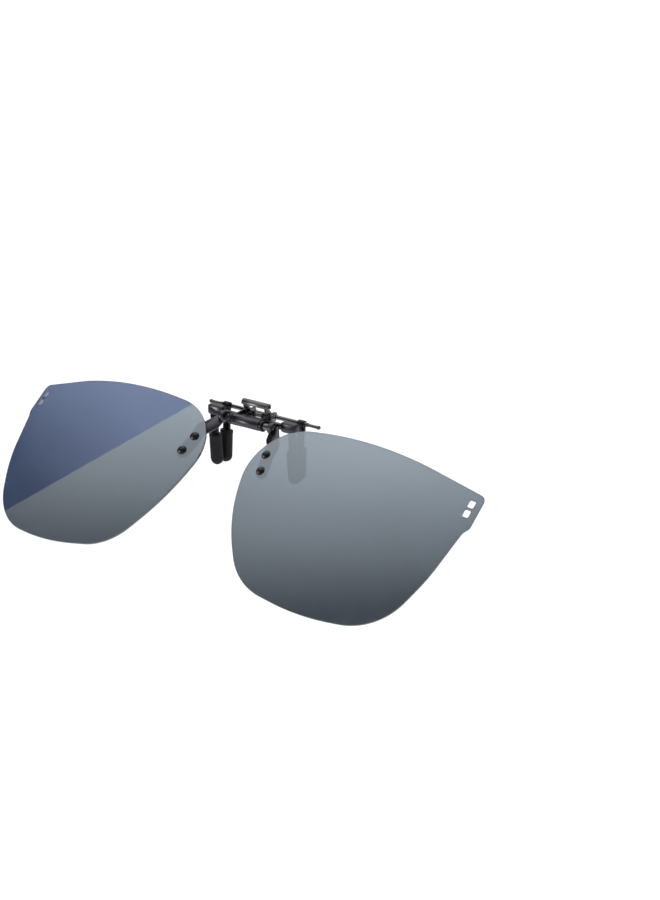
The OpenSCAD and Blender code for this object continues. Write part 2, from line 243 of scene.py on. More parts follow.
@dataclass
class Draft:
    """One piece's mesh while it is built, in millimetres in its own frame."""

    # Length and radius of a wire's rounded tip, as shares of the wire's radius.
    WIRE_TIP = 0.3
    WIRE_TIP_RADIUS = 0.7

    points: list[Vector] = field(default_factory=list)
    faces: list[tuple[int, ...]] = field(default_factory=list)

    def loft(self, rings: Sequence[Sequence[Vector]], closed: bool = False) -> "Draft":
        """Adds a skin over rings of equally many points.

        Args:
            rings: Rings of points in order along the piece.
            closed: True if the last ring joins the first, as round a tube's wall.

        Returns:
            This draft.
        """
        n = len(rings[0])
        first = len(self.points)
        for ring in rings:
            self.points.extend(Vector(p) for p in ring)
        spans = len(rings) if closed else len(rings) - 1
        for i in range(spans):
            a = first + i * n
            b = first + (i + 1) % len(rings) * n
            for k in range(n):
                j = (k + 1) % n
                self.faces.append((a + k, a + j, b + j, b + k))
        if not closed:
            last = first + (len(rings) - 1) * n
            self.faces.append(tuple(range(first + n - 1, first - 1, -1)))
            self.faces.append(tuple(range(last, last + n)))
        return self

    def lathe(
        self,
        profile: Sequence[tuple[float, float]],
        at: tuple[float, float] = (0, 0),
        axis: Axis = Axis.X,
        closed: bool = False,
        segments: int = 40,
    ) -> "Draft":
        """Adds a turned shape.

        Args:
            profile: Points as (along the axis, radius).
            at: Where the axis stands, as (y, z) for X and (x, z) for Y.
            axis: Direction of the axis.
            closed: True for a ring or tube, whose profile is a closed loop.
            segments: Sides of each turn.

        Returns:
            This draft.
        """
        rings = []
        for along, radius in profile:
            ring = []
            for k in range(segments):
                a = 2 * math.pi * k / segments
                p, q = at[0] + radius * math.cos(a), at[1] + radius * math.sin(a)
                ring.append(Vector((along, p, q)) if axis is Axis.X else Vector((p, along, q)))
            rings.append(ring)
        return self.loft(rings, closed)

    def plate(self, outline: Outline, start: float, thick: float, bevel: float, axis: Axis) -> "Draft":
        """Adds a flat plate with bevelled edges.

        Args:
            outline: Outline as (y, z) for a plate square to X, or (x, z) for one square to Y.
            start: Where the plate starts along the axis.
            thick: Thickness.
            bevel: Width of the bevel.
            axis: Direction that the plate is square to.

        Returns:
            This draft.
        """
        small = inset(outline, bevel)
        stack = ((small, 0), (outline, bevel), (outline, thick - bevel), (small, thick))
        rings = []
        for points, depth in stack:
            s = start + depth
            if axis is Axis.X:
                rings.append([Vector((s, p, q)) for p, q in points])
            else:
                rings.append([Vector((p, s, q)) for p, q in points])
        return self.loft(rings)

    def wire(self, path: Sequence[Vector], radius: float, sides: int = 12) -> "Draft":
        """Adds a round wire along a path, with its ends rounded over.

        Args:
            path: Points along the wire's centre.
            radius: Radius of the wire.
            sides: Sides of the wire.

        Returns:
            This draft.
        """
        rings = []
        normal = Vector((1, 0, 0))
        last = len(path) - 1
        tip, tip_radius = radius * self.WIRE_TIP, radius * self.WIRE_TIP_RADIUS
        for i, p in enumerate(path):
            along = (path[min(i + 1, last)] - path[max(i - 1, 0)]).normalized()
            normal = (normal - along * normal.dot(along)).normalized()
            side = along.cross(normal)
            if i == 0:
                rings.append(self.wire_ring(p - along * tip, normal, side, tip_radius, sides))
            rings.append(self.wire_ring(p, normal, side, radius, sides))
            if i == last:
                rings.append(self.wire_ring(p + along * tip, normal, side, tip_radius, sides))
        return self.loft(rings)

    @staticmethod
    def wire_ring(centre: Vector, normal: Vector, side: Vector, radius: float, sides: int) -> list[Vector]:
        """Ring of points round a wire's centre."""
        angles = [2 * math.pi * k / sides for k in range(sides)]
        return [centre + normal * radius * math.cos(a) + side * radius * math.sin(a) for a in angles]

    def placed(self, matrix: Matrix) -> "Draft":
        """The same draft moved by a matrix."""
        return Draft([matrix @ p for p in self.points], list(self.faces))

    def joined(self, other: "Draft") -> "Draft":
        """Puts this draft and another one together.

        Args:
            other: The other draft.

        Returns:
            A new draft with the faces of both.
        """
        shift = len(self.points)
        faces = self.faces + [tuple(i + shift for i in f) for f in other.faces]
        return Draft(self.points + other.points, faces)

    def piece(
        self, name: str, finish: bpy.types.Material, body: Body, slot: str, nodes: Iterable[str]
    ) -> bpy.types.Object:
        """Makes the draft into a finished piece of the model.

        Args:
            name: Name of the piece.
            finish: Its material.
            body: Body that it rides on.
            slot: Material slot of the record; not used.
            nodes: CAD nodes that it stands for.

        Returns:
            The Blender object.
        """
        mesh = bpy.data.meshes.new(name)
        mesh.from_pydata([p * MM for p in self.points], [], self.faces)
        tidy = bmesh.new()
        tidy.from_mesh(mesh)
        bmesh.ops.recalc_face_normals(tidy, faces=tidy.faces)
        tidy.to_mesh(mesh)
        tidy.free()
        mesh.shade_smooth()
        mesh.set_sharp_from_angle(angle=SHARP_EDGE)
        mesh.materials.append(finish)
        obj = bpy.data.objects.new(name, mesh)
        bpy.context.scene.collection.objects.link(obj)
        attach(obj, body.value)
        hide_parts(*nodes)
        LOG.info("%s: %d faces, rides on %s", name, len(mesh.polygons), body.value)
        return obj


def turned(start: float, end: float, radius: float, bevel: float) -> list[tuple[float, float]]:
    """Profile of a plain round bar with bevelled ends, as (along, radius)."""
    return [(start, radius - bevel), (start + bevel, radius), (end - bevel, radius), (end, radius - bevel)]


def tube(start: float, end: float, outer: float, bore: float, bevel: float) -> list[tuple[float, float]]:
    """Closed profile of a tube with bevelled rims, as (along, radius)."""
    return [
        (start, bore), (start, outer - bevel), (start + bevel, outer),
        (end - bevel, outer), (end, outer - bevel), (end, bore),
    ]


# ---------------------------------------------------------------- shader groups


class ShaderGroups:
    """Effects that more than one finish uses, each built once as a node group."""

    GRAIN_DETAIL = 4
    WEAR_SAMPLES = 6
    WEAR_PATCHES = 1400
    SMUDGE_DETAIL = 5
    SMUDGE_DISTORTION = 0.6
    SMUDGE_BAND = (0.3, 0.7)

    def __init__(self) -> None:
        """Builds every group."""
        self.grain = self.build_grain()
        self.wear = self.build_wear()
        self.smudge = self.build_smudge()

    @staticmethod
    def new_tree(name: str, inputs: Sequence[tuple[str, float]], output: str) -> bpy.types.NodeTree:
        """Starts a group with float inputs and one float output.

        Args:
            name: Name of the group.
            inputs: Label and default value of each input.
            output: Label of the output.

        Returns:
            The group, with no nodes in it.
        """
        tree = bpy.data.node_groups.new(name, "ShaderNodeTree")
        number = "NodeSocketFloat"
        for label, value in inputs:
            socket = tree.interface.new_socket(label, in_out="INPUT", socket_type=number)
            socket.default_value = value
        tree.interface.new_socket(output, in_out="OUTPUT", socket_type=number)
        return tree

    def build_grain(self) -> bpy.types.NodeTree:
        """Fine surface grain.

        Returns:
            A group with inputs Scale and Stretch and the output Height.
        """
        tree = self.new_tree("fine_grain", (("Scale", 3000), ("Stretch", 1)), "Height")
        nodes, links = tree.nodes, tree.links
        enter, leave = nodes.new("NodeGroupInput"), nodes.new("NodeGroupOutput")
        place = nodes.new("ShaderNodeTexCoord")
        combine = nodes.new("ShaderNodeCombineXYZ")
        for across in ("Y", "Z"):
            combine.inputs[across].default_value = 1
        links.new(enter.outputs["Stretch"], combine.inputs["X"])
        stretch = nodes.new("ShaderNodeVectorMath")
        stretch.operation = "MULTIPLY"
        links.new(place.outputs["Object"], stretch.inputs[0])
        links.new(combine.outputs["Vector"], stretch.inputs[1])
        noise = nodes.new("ShaderNodeTexNoise")
        noise.inputs["Detail"].default_value = self.GRAIN_DETAIL
        links.new(stretch.outputs["Vector"], noise.inputs["Vector"])
        links.new(enter.outputs["Scale"], noise.inputs["Scale"])
        links.new(noise.outputs["Fac"], leave.inputs["Height"])
        return tree

    def build_wear(self) -> bpy.types.NodeTree:
        """Mask of rubbed edges.

        Returns:
            A group with inputs Radius and Strength and the output Mask.
        """
        tree = self.new_tree("edge_wear", (("Radius", 0.0002), ("Strength", 3)), "Mask")
        nodes, links = tree.nodes, tree.links
        enter, leave = nodes.new("NodeGroupInput"), nodes.new("NodeGroupOutput")
        bevel, surface = nodes.new("ShaderNodeBevel"), nodes.new("ShaderNodeNewGeometry")
        bevel.samples = self.WEAR_SAMPLES
        links.new(enter.outputs["Radius"], bevel.inputs["Radius"])
        dot = nodes.new("ShaderNodeVectorMath")
        dot.operation = "DOT_PRODUCT"
        links.new(bevel.outputs["Normal"], dot.inputs[0])
        links.new(surface.outputs["Normal"], dot.inputs[1])
        turn_over = nodes.new("ShaderNodeMath")
        turn_over.operation = "SUBTRACT"
        turn_over.inputs[0].default_value = 1
        links.new(dot.outputs["Value"], turn_over.inputs[1])
        noise = nodes.new("ShaderNodeTexNoise")
        noise.inputs["Scale"].default_value = self.WEAR_PATCHES
        place = nodes.new("ShaderNodeTexCoord")
        links.new(place.outputs["Object"], noise.inputs["Vector"])
        patchy = nodes.new("ShaderNodeMath")
        patchy.operation = "MULTIPLY"
        links.new(turn_over.outputs["Value"], patchy.inputs[0])
        links.new(noise.outputs["Fac"], patchy.inputs[1])
        gain = nodes.new("ShaderNodeMath")
        gain.operation = "MULTIPLY"
        gain.use_clamp = True
        links.new(patchy.outputs["Value"], gain.inputs[0])
        links.new(enter.outputs["Strength"], gain.inputs[1])
        links.new(gain.outputs["Value"], leave.inputs["Mask"])
        return tree

    def build_smudge(self) -> bpy.types.NodeTree:
        """Uneven roughness from handling.

        Returns:
            A group with inputs Scale, Low and High and the output Roughness.
        """
        inputs = (("Scale", 300), ("Low", 0.2), ("High", 0.4))
        tree = self.new_tree("handling_smudge", inputs, "Roughness")
        nodes, links = tree.nodes, tree.links
        enter, leave = nodes.new("NodeGroupInput"), nodes.new("NodeGroupOutput")
        place, noise = nodes.new("ShaderNodeTexCoord"), nodes.new("ShaderNodeTexNoise")
        noise.inputs["Detail"].default_value = self.SMUDGE_DETAIL
        noise.inputs["Distortion"].default_value = self.SMUDGE_DISTORTION
        links.new(place.outputs["Object"], noise.inputs["Vector"])
        links.new(enter.outputs["Scale"], noise.inputs["Scale"])
        spread = nodes.new("ShaderNodeMapRange")
        spread.inputs["From Min"].default_value, spread.inputs["From Max"].default_value = self.SMUDGE_BAND
        links.new(noise.outputs["Fac"], spread.inputs["Value"])
        links.new(enter.outputs["Low"], spread.inputs["To Min"])
        links.new(enter.outputs["High"], spread.inputs["To Max"])
        links.new(spread.outputs["Result"], leave.inputs["Roughness"])
        return tree


@dataclass(frozen=True)
class SolidFinish:
    """An opaque finish: plated metal, bright wire, rubber, gloss paint or nylon."""

    name: str
    colour: Colour
    worn: Colour
    metallic: float
    rough: tuple[float, float]
    grain_scale: float
    grain_depth: float
    grain_stretch: float = 1.0
    grain_strength: float = 0.6
    wear_strength: float = 4.0
    specular: float = 0.5

    def build(self, groups: ShaderGroups) -> bpy.types.Material:
        """Makes the Blender material.

        Args:
            groups: The shared shader groups.

        Returns:
            The material.
        """
        material = bpy.data.materials.new(self.name)
        material.use_nodes = True
        nodes, links = material.node_tree.nodes, material.node_tree.links
        shader = nodes["Principled BSDF"]
        shader.inputs["Metallic"].default_value = self.metallic
        shader.inputs["Specular IOR Level"].default_value = self.specular
        wear = nodes.new("ShaderNodeGroup")
        wear.node_tree = groups.wear
        wear.inputs["Strength"].default_value = self.wear_strength
        mix = nodes.new("ShaderNodeMix")
        mix.data_type = "RGBA"
        mix.inputs["A"].default_value = (*self.colour, 1)
        mix.inputs["B"].default_value = (*self.worn, 1)
        links.new(wear.outputs["Mask"], mix.inputs["Factor"])
        links.new(mix.outputs["Result"], shader.inputs["Base Color"])
        smudge = nodes.new("ShaderNodeGroup")
        smudge.node_tree = groups.smudge
        smudge.inputs["Low"].default_value, smudge.inputs["High"].default_value = self.rough
        links.new(smudge.outputs["Roughness"], shader.inputs["Roughness"])
        grain = nodes.new("ShaderNodeGroup")
        grain.node_tree = groups.grain
        grain.inputs["Scale"].default_value = self.grain_scale
        grain.inputs["Stretch"].default_value = self.grain_stretch
        bump = nodes.new("ShaderNodeBump")
        bump.inputs["Strength"].default_value = self.grain_strength
        bump.inputs["Distance"].default_value = self.grain_depth * MM
        links.new(grain.outputs["Height"], bump.inputs["Height"])
        links.new(bump.outputs["Normal"], shader.inputs["Normal"])
        return material


@dataclass(frozen=True)
class TintAndPaintedSkyFinish:
    """Tinted, flash-coated lens sheet, painted lighter towards its top edge: a painted reflection of the
    bright sky over the lens's own smoke tint.
    """

    name: str = "smoke_lens_tint"
    # The smoke tint at the top, middle and bottom; it lightens towards the top as painted reflection of the
    # sky.
    top: Colour = (0.078, 0.1, 0.125)
    middle: Colour = (0.056, 0.07, 0.089)
    bottom: Colour = (0.032, 0.041, 0.055)
    flash: Colour = (0.8, 0.91, 1.0)
    index: float = 2.4
    smudge_scale: float = 60.0
    rough: tuple[float, float] = (0.0, 0.03)

    def build(self, groups: ShaderGroups) -> bpy.types.Material:
        """Makes the Blender material.

        Args:
            groups: The shared shader groups.

        Returns:
            The material.
        """
        material = bpy.data.materials.new(self.name)
        material.use_nodes = True
        nodes, links = material.node_tree.nodes, material.node_tree.links
        shader = nodes["Principled BSDF"]
        shader.inputs["Transmission Weight"].default_value = 1
        shader.inputs["IOR"].default_value = self.index
        shader.inputs["Specular Tint"].default_value = (*self.flash, 1)
        # Painted reflection: each point's slanted height picks the tint, darker at the bottom and lighter at
        # the top.
        height = nodes.new("ShaderNodeAttribute")
        height.attribute_name = LensUnit.HEIGHT
        ramp = nodes.new("ShaderNodeValToRGB")
        ramp.color_ramp.interpolation = "EASE"
        ramp.color_ramp.elements[0].color = (*self.bottom, 1)
        ramp.color_ramp.elements[1].color = (*self.top, 1)
        ramp.color_ramp.elements.new(0.5).color = (*self.middle, 1)
        links.new(height.outputs["Fac"], ramp.inputs["Fac"])
        links.new(ramp.outputs["Color"], shader.inputs["Base Color"])
        smudge = nodes.new("ShaderNodeGroup")
        smudge.node_tree = groups.smudge
        smudge.inputs["Scale"].default_value = self.smudge_scale
        smudge.inputs["Low"].default_value, smudge.inputs["High"].default_value = self.rough
        links.new(smudge.outputs["Roughness"], shader.inputs["Roughness"])
        return material


GUNMETAL = SolidFinish(
    name="gunmetal_plate",
    colour=(0.062, 0.062, 0.072),
    worn=(0.24, 0.24, 0.25),
    metallic=1,
    rough=(0.24, 0.42),
    grain_scale=2600,
    grain_depth=0.012,
    grain_stretch=0.12,
)
BRUSHED = SolidFinish(
    name="brushed_plate",
    colour=(0.13, 0.13, 0.134),
    worn=(0.4, 0.4, 0.41),
    metallic=1,
    rough=(0.26, 0.42),
    grain_scale=3800,
    grain_depth=0.02,
    grain_stretch=0.04,
)
BLACK_STEEL = SolidFinish(
    name="black_steel",
    colour=(0.028, 0.028, 0.031),
    worn=(0.16, 0.16, 0.17),
    metallic=1,
    rough=(0.24, 0.4),
    grain_scale=2400,
    grain_depth=0.01,
)
DRAWN_WIRE = SolidFinish(
    name="drawn_wire",
    colour=(0.14, 0.14, 0.148),
    worn=(0.4, 0.4, 0.4),
    metallic=1,
    rough=(0.14, 0.26),
    grain_scale=1500,
    grain_depth=0.006,
    grain_stretch=0.05,
    wear_strength=2,
)
MOULDED_RUBBER = SolidFinish(
    name="moulded_rubber",
    colour=(0.008, 0.008, 0.0105),
    worn=(0.03, 0.03, 0.034),
    metallic=0,
    rough=(0.5, 0.68),
    grain_scale=5200,
    grain_depth=0.02,
    wear_strength=3,
    specular=0.22,
)
GLOSS_BLACK = SolidFinish(
    name="gloss_black",
    colour=(0.003, 0.003, 0.0045),
    worn=(0.006, 0.006, 0.008),
    metallic=0,
    rough=(0.07, 0.12),
    grain_scale=900,
    grain_depth=0.001,
    wear_strength=1,
    specular=0.4,
)
MILKY_NYLON = SolidFinish(
    name="milky_nylon",
    colour=(0.5, 0.51, 0.51),
    worn=(0.6, 0.6, 0.6),
    metallic=0,
    rough=(0.35, 0.5),
    grain_scale=1500,
    grain_depth=0.01,
    wear_strength=1,
)


class Finishes:
    """Every material of the model, built once."""

    def __init__(self) -> None:
        """Builds the shared groups and then the materials."""
        groups = ShaderGroups()
        self.gunmetal = GUNMETAL.build(groups)
        self.brushed = BRUSHED.build(groups)
        self.black_steel = BLACK_STEEL.build(groups)
        self.dark_wire = DRAWN_WIRE.build(groups)
        self.rubber = MOULDED_RUBBER.build(groups)
        self.gloss_black = GLOSS_BLACK.build(groups)
        self.nylon = MILKY_NYLON.build(groups)
        self.tint = TintAndPaintedSkyFinish().build(groups)


# ---------------------------------------------------------------- flip frame


@dataclass
class FlipFrame:
    """Where the lenses hang: the flip axis and the angle that they are raised at rest.

    When the lenses are lowered, fore and below are how far their centres stand in front of the axis
    and under it. A lens is part of a sphere of radius curve, and turns back by wrap degrees.
    """

    fore: float = 3.5
    below: float = 21.4
    lens_width: float = 62.0
    lens_height: float = 47.0
    lens_gap: float = 15.3
    wrap: float = 6.0
    curve: float = 112.0

    def __post_init__(self) -> None:
        """Reads the flip axis and the rest angle from the record."""
        self.y, self.z = joint_place("flip_hinge")
        self.raised = -joint_row("flip_hinge")["range_deg"][0]

    def axis_frame(self, side: Side) -> Matrix:
        """Frame on the flip axis, raised by the rest angle."""
        lift = Matrix.Rotation(math.radians(-self.raised), 4, "X")
        return Matrix.Translation((0, self.y, self.z)) @ lift @ side.mirrored()

    def lens_frame(self, side: Side) -> Matrix:
        """Frame at the lens centre: X outward, Z up, -Y out of the front."""
        centre = Matrix.Translation(((self.lens_gap + self.lens_width) / 2, -self.fore, -self.below))
        return self.axis_frame(side) @ centre @ Matrix.Rotation(math.radians(self.wrap), 4, "Z")

    def surface_frame(self, side: Side, u: float, v: float) -> Matrix:
        """Frame square to the lens's front surface.

        Args:
            side: Which lens.
            u: Distance outward from the lens centre.
            v: Height above the lens centre.

        Returns:
            The frame, with -Y out of the front.
        """
        tilt = math.asin(v / self.curve)
        turn = math.asin(u / (self.curve * math.cos(tilt)))
        out = Matrix.Translation((0, self.curve, 0))
        turned_to = Matrix.Rotation(turn, 4, "Z") @ Matrix.Rotation(-tilt, 4, "X")
        return self.lens_frame(side) @ out @ turned_to @ out.inverted()

    def on_sphere(self, u: float, v: float, depth: float) -> Vector:
        """Point of the lens sheet.

        Args:
            u: Distance outward from the lens centre.
            v: Height above the lens centre.
            depth: Distance behind the front surface.

        Returns:
            The point in the lens frame.
        """
        centre = Vector((0, self.curve, 0))
        front = Vector((u, self.curve - math.sqrt(self.curve**2 - u * u - v * v), v))
        return front + (centre - front).normalized() * depth


@dataclass
class SheetDraft:
    """Mesh of a lens sheet while it is built, with each point's normal and height, which sets how much
    painted sky reflection lightens the tint there.
    """

    flip: FlipFrame
    side: Side
    painted_sky_slant: float
    draft: Draft = field(default_factory=Draft)
    normals: list[Vector] = field(default_factory=list)
    heights: list[float] = field(default_factory=list)

    def add(self, u: float, v: float, depth: float, way: int, lean: Vector | None = None) -> None:
        """Adds one point.

        Args:
            u: Distance outward from the lens centre.
            v: Height above the lens centre.
            depth: Distance behind the front surface.
            way: 1 where the normal points out of the front, and -1 out of the back.
            lean: Vector that the normal leans by, at an edge.
        """
        centre = Vector((0, self.flip.curve, 0))
        point = self.flip.on_sphere(u, v, depth)
        out = (point - centre).normalized() * way
        # Share of the painted sky reflection: more towards the top, slanted across the lens.
        share = 0.5 + (v - self.painted_sky_slant * self.side.value * u) / self.flip.lens_height
        self.draft.points.append(point)
        self.normals.append((out + lean).normalized() if lean else out)
        self.heights.append(min(1.0, max(0.0, share)))


@dataclass
class LensUnit:
    """One lens with its rivets, washers, collars and bracket.

    Places on the lens are (u, v), outward and up from its centre. The slots stand in from its outer
    end and the rivets in from its inner end. The eye on the rod is (start, end, radius).
    """

    # Attribute of each point's height, which sets the painted sky reflection in the tint.
    HEIGHT = "height"
    # Shares of the bevel: its width at a hole, and its depth at every edge.
    HOLE_BEVEL = 0.6
    EDGE_FROM = 0.7
    # How far an edge's normals lean off the lens, where the surface's own normal is 1 long.
    EDGE_LEAN = 20
    # Shares of the grid: from row to row, and from the outermost points to an edge or a hole.
    ROW_PITCH = 0.866
    CLEAR_OF_EDGE = 0.6
    CLEAR_OF_HOLE = 0.5
    SAME_POINT = 1e-5

    side: Side
    flip: FlipFrame
    finishes: Finishes
    thick: float = 0.8
    bevel: float = 0.12
    grid: float = 1.1
    # Slant of the painted sky reflection across the lens.
    painted_sky_slant: float = 0.15
    brow_rise: float = 1.0
    tip_drop: float = 3.5
    tip_height: float = 9.0
    nose_radius: float = 14.0
    chin_radius: float = 17.0
    brow_bow: float = 130.0
    side_bow: float = 50.0
    chin_bow: float = 56.0
    slot_half: tuple[float, float] = (0.75, 1.1)
    slot_corner: float = 0.35
    slot_pitch: float = 2.75
    slot_in: float = 2.35
    slot_up: float = 15.7
    rivet_in: float = 4.3
    rivet_up: float = 11.05
    rivet_pitch: float = 4.85
    rivet_lean: float = 14.0
    head_radius: float = 1.2
    head_height: float = 0.75
    head_rim: float = 0.12
    hole_radius: float = 0.76
    hole_sides: int = 28
    shank_radius: float = 0.7
    shank_proud: float = 0.15
    washer_from: float = 0.87
    washer_thick: float = 0.27
    pad_thick: float = 0.6
    pad_width: float = 3.4
    stamped_edge: float = 0.1
    collar_thick: float = 0.6
    bracket_corners: tuple[Corner, ...] = (
        (-4.9, 11.5, 0.4), (-3.2, 11.5, 0.6), (-1.5, 9.2, 2), (0.9, 6.2, 2.6), (1.2, 2.2, 0.4),
        (-2.1, 2.2, 0.4), (-2.3, 4.6, 1.4), (-4.4, 7, 1.6), (-4.9, 9.4, 1),
    )
    eye: tuple[float, float, float] = (6.95, 8.35, 1.45)
    eye_edge: float = 0.15
    rod_radius: float = 0.85

    def corners(self) -> tuple[Corner, ...]:
        """Corners of the outline, from the nose along the brow and round by the chin.

        Returns:
            Corners as (u, v, radius).
        """
        half_w, half_h = self.flip.lens_width / 2, self.flip.lens_height / 2
        tip_foot = half_h - self.tip_drop - self.tip_height
        chin = 2.5 - half_h
        nose = (-half_w - 3, half_h - 2.5, self.nose_radius)
        brow = (0, half_h + self.brow_rise, self.brow_bow)
        tip = ((half_w, half_h - self.tip_drop, 1.5), (half_w, tip_foot, 2), (half_w - 1, tip_foot - 1.5, 4))
        outer_side = (half_w - 3.5, -4.5, self.side_bow)
        bottom = (
            (half_w - 10, chin, self.chin_radius),
            (1, -half_h - 0.5, self.chin_bow),
            (13 - half_w, chin, self.chin_radius),
        )
        inner_side = (2.5 - half_w, -5, self.side_bow)
        return (nose, brow, *tip, outer_side, *bottom, inner_side)

    @property
    def pad(self) -> Matrix:
        """Frame square to the lens between its rivets."""
        return self.flip.surface_frame(self.side, -self.flip.lens_width / 2 + self.rivet_in, self.rivet_up)

    def rivet_frames(self) -> list[Matrix]:
        """Frames of the two rivets.

        Returns:
            The lower one's and the upper one's.
        """
        lean = Matrix.Rotation(math.radians(-self.rivet_lean), 4, "Y")
        half = self.rivet_pitch / 2
        return [self.pad @ lean @ Matrix.Translation((0, 0, s * half)) for s in (-1, 1)]

    def holes(self) -> list[Outline]:
        """Outlines of the rivet holes and the corner slots.

        Returns:
            Four outlines in the lens's own (u, v).
        """
        into_lens = self.flip.lens_frame(self.side).inverted()
        turns = [2 * math.pi * k / self.hole_sides for k in range(self.hole_sides)]
        r = self.hole_radius
        found = []
        for place in self.rivet_frames():
            centre = (into_lens @ place).to_translation()
            found.append([(centre.x + r * math.cos(a), centre.z + r * math.sin(a)) for a in turns])
        w, h = self.slot_half
        u = self.flip.lens_width / 2 - self.slot_in
        for s in (-1, 1):
            v = self.slot_up + s * self.slot_pitch / 2
            found.append(rounded(box_corners(u - w, u + w, v - h, v + h, self.slot_corner), chord=0.1))
        return found

    def sheet(self) -> SheetDraft:
        """Lens sheet with bevelled edges and holes.

        Returns:
            The sheet in the lens frame.
        """
        outer = rounded(self.corners(), chord=0.7)
        holes = self.holes()
        hole_bevel = self.bevel * self.HOLE_BEVEL
        lips = [inset(outer, self.bevel)] + [inset(hole, -hole_bevel) for hole in holes]
        points, triangles = self.flat_mesh(lips)
        count = len(points)
        sheet = SheetDraft(self.flip, self.side, self.painted_sky_slant)
        for depth, way in ((0.0, 1), (self.thick, -1)):
            for u, v in points:
                sheet.add(u, v, depth, way)
        sheet.draft.faces += [tuple(t) for t in triangles]
        sheet.draft.faces += [tuple(i + count for i in reversed(t)) for t in triangles]
        lip_start = 0
        for loop in [outer] + holes:
            into_lens = 1 if loop is outer else -1
            self.add_wall(sheet, loop, lip_start, count, into_lens)
            lip_start += len(loop)
        return sheet

    def add_wall(self, sheet: SheetDraft, loop: Outline, lip: int, count: int, into_lens: int) -> None:
        """Adds the edge wall and its two bevels round the outline or a hole.

        Args:
            sheet: The sheet, with both of its surfaces.
            loop: The edge.
            lip: Number of the first point where the front surface ends beside this edge.
            count: Number of points of one surface.
            into_lens: 1 for the outline, and -1 for a hole.
        """
        n = len(loop)
        sign = (1 if area_2d(loop) > 0 else -1) * into_lens
        first = len(sheet.draft.points)
        edge_from = self.bevel * self.EDGE_FROM
        for depth, way in ((edge_from, 1), (self.thick - edge_from, -1)):
            for i, (u, v) in enumerate(loop):
                ax, ay = loop[i - 1]
                bx, by = loop[(i + 1) % n]
                tx, ty = unit_2d(bx - ax, by - ay)
                sheet.add(u, v, depth, way, Vector((sign * ty, 0, -sign * tx)) * self.EDGE_LEAN)
        for k in range(n):
            j = (k + 1) % n
            front, back = lip + k, count + lip + k
            next_front, next_back = lip + j, count + lip + j
            sheet.draft.faces.append((front, next_front, first + j, first + k))
            sheet.draft.faces.append((first + k, first + j, first + n + j, first + n + k))
            sheet.draft.faces.append((first + n + k, first + n + j, next_back, back))

    def flat_mesh(self, lips: list[Outline]) -> tuple[list[tuple[float, float]], list[Sequence[int]]]:
        """Even triangles over the flat outline, without its holes.

        Args:
            lips: Edges of the surface, outline first and then the holes.

        Returns:
            The points, with the edges' own points first, and the triangles.
        """
        points = [p for lip in lips for p in lip]
        edges = []
        start = 0
        for lip in lips:
            edges += [(start + k, start + (k + 1) % len(lip)) for k in range(len(lip))]
            start += len(lip)
        clear = inset(lips[0], self.grid * self.CLEAR_OF_EDGE)
        fences = [inset(h, -self.grid * self.CLEAR_OF_HOLE) for h in lips[1:]]
        rows = int(self.flip.lens_height / self.grid)
        columns = int(self.flip.lens_width / self.grid)
        for row in range(-rows, rows + 1):
            for column in range(-columns, columns + 1):
                p = ((column + row % 2 / 2) * self.grid, row * self.grid * self.ROW_PITCH)
                if inside(p, clear) and not any(inside(p, f) for f in fences):
                    points.append(p)
        marks = [Vector(p) for p in points]
        coords, _, faces, _, _, _ = delaunay_2d_cdt(marks, edges, [], 0, self.SAME_POINT)
        made = [tuple(c) for c in coords]
        if len(made) != len(points):
            LOG.warning("lens mesh: %d points came back from %d", len(made), len(points))
        kept = []
        for f in faces:
            centre = (sum(made[i][0] for i in f) / 3, sum(made[i][1] for i in f) / 3)
            if inside(centre, lips[0]) and not any(inside(centre, h) for h in lips[1:]):
                kept.append(f)
        return made, kept

    def build_lens(self) -> bpy.types.Object:
        """Makes the lens, with exact normals so that its reflections are smooth.

        Returns:
            The lens.
        """
        sheet = self.sheet()
        place = self.flip.lens_frame(self.side)
        suffix = self.side.suffix
        lens = sheet.draft.placed(place).piece(
            f"lens_sheet_{suffix}", self.finishes.tint, Body.FLIP, "lens_tint", [f"lens_{suffix}"]
        )
        turn = place.to_3x3()
        mesh = lens.data
        mesh.set_sharp_from_angle(angle=math.pi)
        mesh.normals_split_custom_set_from_vertices([(turn @ n).normalized() for n in sheet.normals])
        # Heights that set the painted sky reflection in the tint.
        layer = mesh.attributes.new(self.HEIGHT, "FLOAT", "POINT")
        layer.data.foreach_set("value", sheet.heights)
        return lens

    def rivet_profile(self) -> list[tuple[float, float]]:
        """Profile of a rivet: a shallow dome, a thin rim and a shank.

        Returns:
            Points as (depth behind the lens's front, radius).
        """
        head, high, rim, steps = self.head_radius, self.head_height, self.head_rim, 9
        dome = (head**2 + high**2) / (2 * high)
        profile = [(-high, POLE)]
        for k in range(1, steps):
            r = head * k / steps
            profile.append((dome - high - math.sqrt(dome * dome - r * r), r))
        profile += [(-rim, head - 0.01), (-0.02, head), (0, head - 0.08)]
        end = self.washer_from + self.washer_thick + self.pad_thick + self.collar_thick + self.shank_proud
        profile += [(0, self.shank_radius), (end - 0.1, self.shank_radius), (end, self.shank_radius - 0.15)]
        return profile

